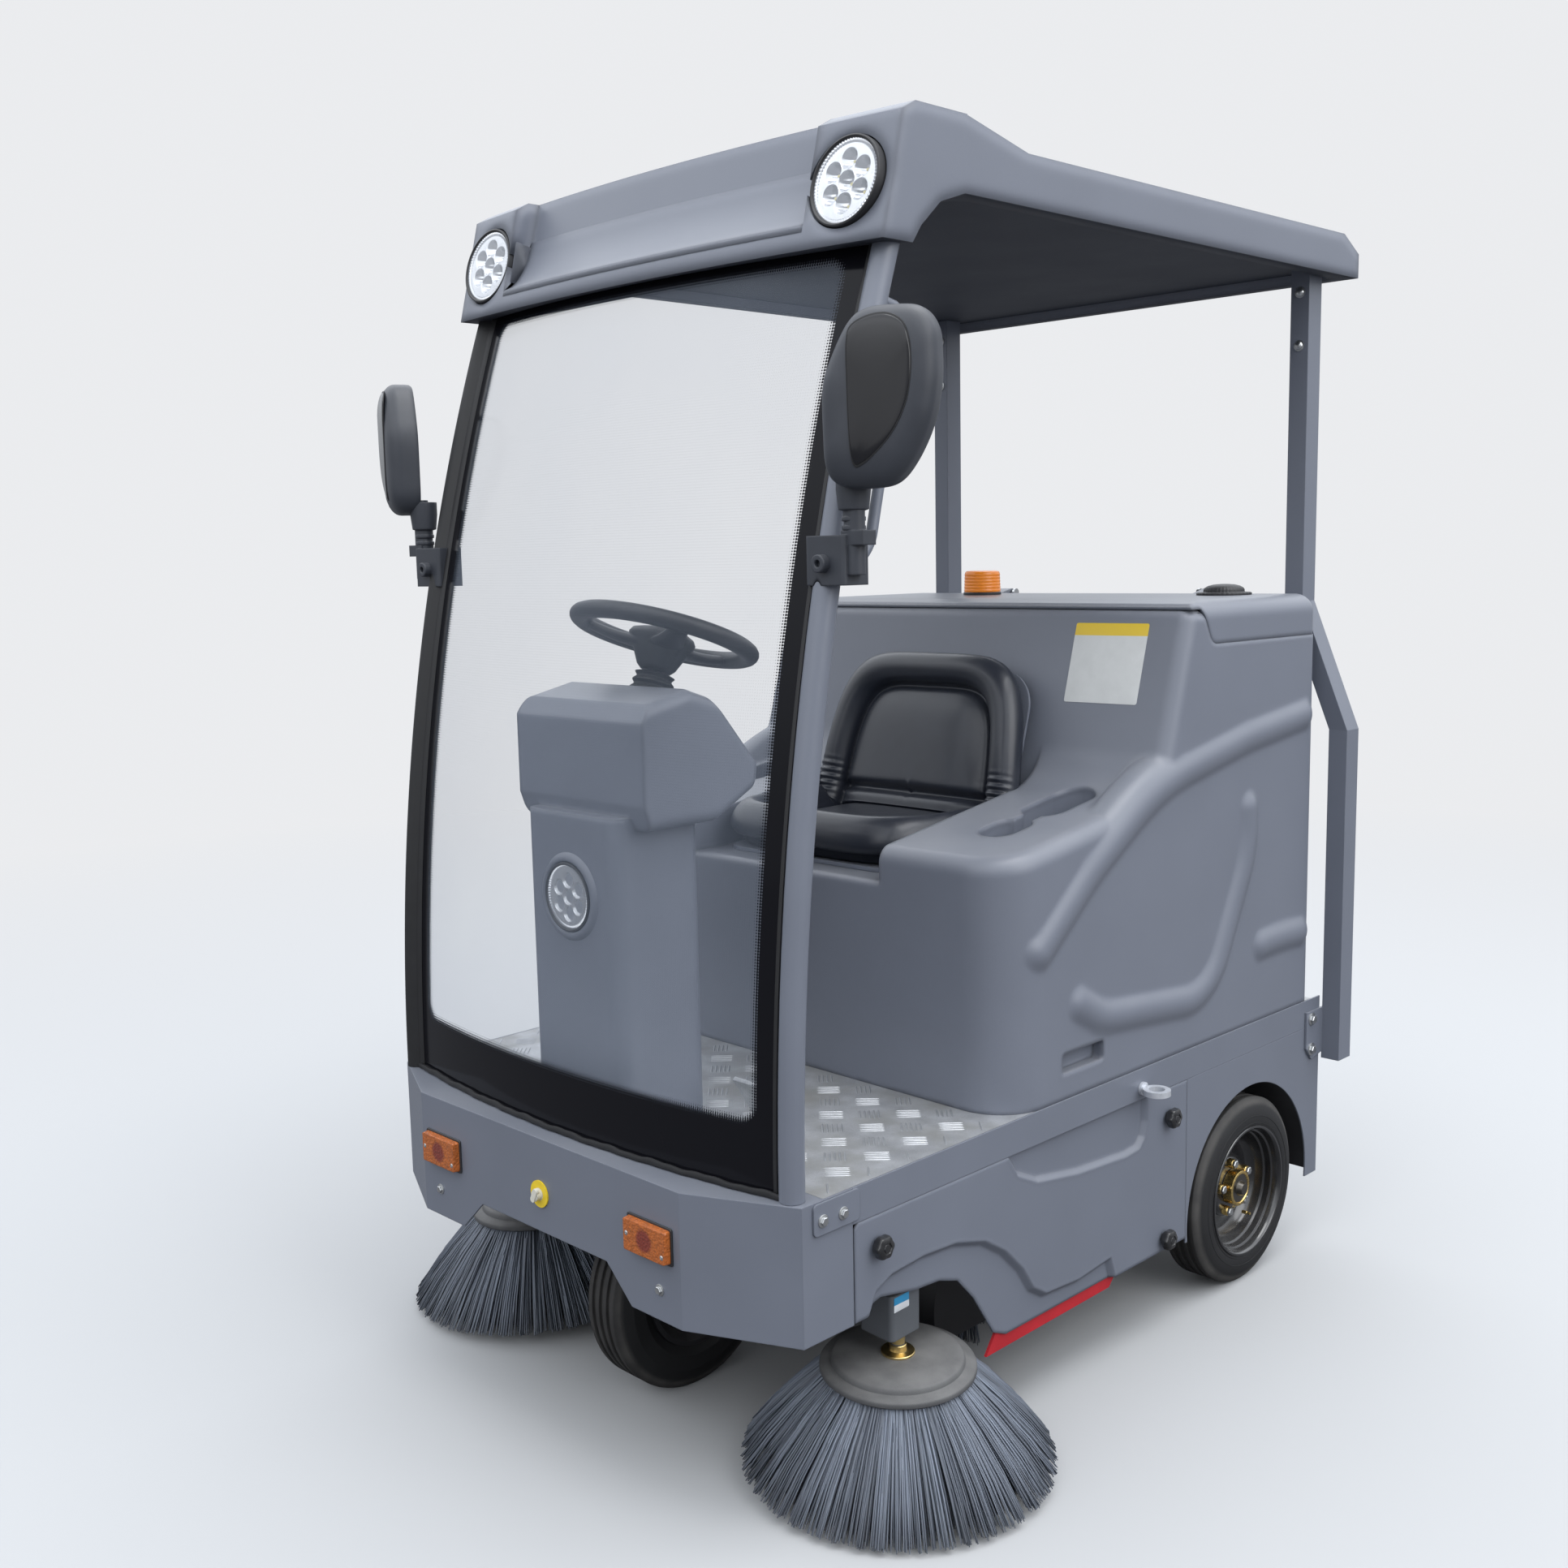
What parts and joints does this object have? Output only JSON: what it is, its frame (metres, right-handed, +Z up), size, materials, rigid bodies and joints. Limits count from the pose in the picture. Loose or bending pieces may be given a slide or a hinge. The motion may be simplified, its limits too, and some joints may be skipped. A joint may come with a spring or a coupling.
{
  "type": "compact road sweeper",
  "caption": "Small ride-on road sweeper with a curved windshield, roof, bucket seat, lidded body shell, side brushes, main brush roller and rear hopper.",
  "frame": {"origin": "on the floor under the middle of the bounding box", "axes": "+X to the vehicle's left, +Y to its rear, +Z up; the front faces -Y"},
  "size_m": [1.4033, 1.667, 2.036],
  "materials": {
    "chassis_paint": "satin black paint",
    "body_paint": "grey powder coat",
    "moulded_grey": "lightly grained moulded plastic",
    "amber_lens": "clear amber lens",
    "key_switch": "yellow ring with a pale knob",
    "tread_plate": "bright raised-bar tread plate",
    "knob_plastic": "moulded black",
    "red_rubber": "matt red rubber",
    "zinc_steel": "bright zinc plate",
    "glass": "clear laminated glass",
    "clear_lens": "clear lens over a bright reflector",
    "black_plastic": "grained black",
    "pedal_steel": "brushed",
    "black_vinyl": "grained vinyl",
    "battery_case": "ribbed case",
    "tyre": "ribbed rubber",
    "motor_paint": "grey paint",
    "bristle": "nylon filament, worn darker at the tips",
    "mirror_plastic": "dark grey with a gloss insert"
  },
  "bodies": {
    "chassis": {"frame": "chassis_paint", "front_fascia": "body_paint", "marker_lamps": "amber_lens", "key_switch": "key_switch", "floor_plate": "tread_plate", "side_plate_left": "body_paint", "side_plate_right": "body_paint", "arch_panel_left": "body_paint", "arch_panel_right": "body_paint", "side_door_left": "body_paint", "side_door_right": "body_paint", "door_knobs": "knob_plastic", "side_skirts": "red_rubber", "eye_bolts": "zinc_steel", "front_posts": "body_paint", "windshield": "glass", "rear_posts": "body_paint", "roof": "moulded_grey", "work_lamps": "clear_lens", "console": "moulded_grey", "steering_column": "black_plastic", "pedals": "pedal_steel", "seat_cushion": "black_vinyl", "seat_back": "black_vinyl", "seat_pan": "body_paint", "body_shell": "moulded_grey", "lid_hinges": "zinc_steel", "battery": "battery_case", "brush_housing": "chassis_paint", "mirror_head_left": "mirror_plastic", "mirror_head_right": "mirror_plastic", "mirror_clamp_left": "knob_plastic", "mirror_clamp_right": "knob_plastic"},
    "steering_wheel": {"steering_wheel": "black_plastic"},
    "front_steer": {"front_fork": "chassis_paint"},
    "front_wheel": {"front_rim": "chassis_paint", "front_tyre": "tyre"},
    "rear_wheel_left": {"rear_rim_left": "chassis_paint", "rear_tyre_left": "tyre"},
    "rear_wheel_right": {"rear_rim_right": "chassis_paint", "rear_tyre_right": "tyre"},
    "brush_arm_left": {"brush_arm_left": "motor_paint"},
    "brush_arm_right": {"brush_arm_right": "motor_paint"},
    "side_brush_left": {"brush_dish_left": "knob_plastic", "bristles_left": "bristle"},
    "side_brush_right": {"brush_dish_right": "knob_plastic", "bristles_right": "bristle"},
    "main_brush": {"main_brush": "bristle"},
    "lid": {"lid": "moulded_grey", "vent_cap": "knob_plastic", "beacon": "amber_lens"},
    "hopper": {"hopper": "body_paint"}
  },
  "joints": [
    {"name": "front_steer", "type": "hinge", "parent": "chassis", "child": "front_steer", "pos_m": [0, -0.5275, 0.39], "axis": [0, 0, 1], "range_deg": [-50, 50]},
    {"name": "front_wheel_spin", "type": "hinge", "parent": "front_steer", "child": "front_wheel", "pos_m": [0, -0.5275, 0.181], "axis": [1, 0, 0], "continuous": true},
    {"name": "rear_wheel_left_spin", "type": "hinge", "parent": "chassis", "child": "rear_wheel_left", "pos_m": [0.471, 0.4715, 0.181], "axis": [1, 0, 0], "continuous": true},
    {"name": "rear_wheel_right_spin", "type": "hinge", "parent": "chassis", "child": "rear_wheel_right", "pos_m": [-0.471, 0.4715, 0.181], "axis": [1, 0, 0], "continuous": true},
    {"name": "steering_wheel_turn", "type": "hinge", "parent": "chassis", "child": "steering_wheel", "pos_m": [0, -0.5245, 1.29], "axis": [0, 0.342, 0.9397], "range_deg": [-200, 200]},
    {"name": "side_brush_left_lift", "type": "hinge", "parent": "chassis", "child": "brush_arm_left", "pos_m": [0.4, -0.2095, 0.352], "axis": [-1, 0, 0], "range_deg": [0, 10]},
    {"name": "side_brush_right_lift", "type": "hinge", "parent": "chassis", "child": "brush_arm_right", "pos_m": [-0.4, -0.2095, 0.352], "axis": [-1, 0, 0], "range_deg": [0, 10]},
    {"name": "side_brush_left_spin", "type": "hinge", "parent": "brush_arm_left", "child": "side_brush_left", "pos_m": [0.468, -0.4955, 0.168], "axis": [0.0436, -0.0349, 0.9984], "continuous": true},
    {"name": "side_brush_right_spin", "type": "hinge", "parent": "brush_arm_right", "child": "side_brush_right", "pos_m": [-0.468, -0.4955, 0.168], "axis": [-0.0436, -0.0349, 0.9984], "continuous": true},
    {"name": "main_brush_spin", "type": "hinge", "parent": "chassis", "child": "main_brush", "pos_m": [0, -0.1195, 0.134], "axis": [1, 0, 0], "continuous": true},
    {"name": "lid_hinge", "type": "hinge", "parent": "chassis", "child": "lid", "pos_m": [0, 0.7255, 1.322], "axis": [-1, 0, 0], "range_deg": [0, 70]},
    {"name": "hopper_slide", "type": "slide", "parent": "chassis", "child": "hopper", "axis": [0, 1, 0], "range_m": [0, 0.42]}
  ],
  "couplings": [
    {"joint": "steering_wheel_turn", "follows": "front_steer", "ratio": 4}
  ]
}
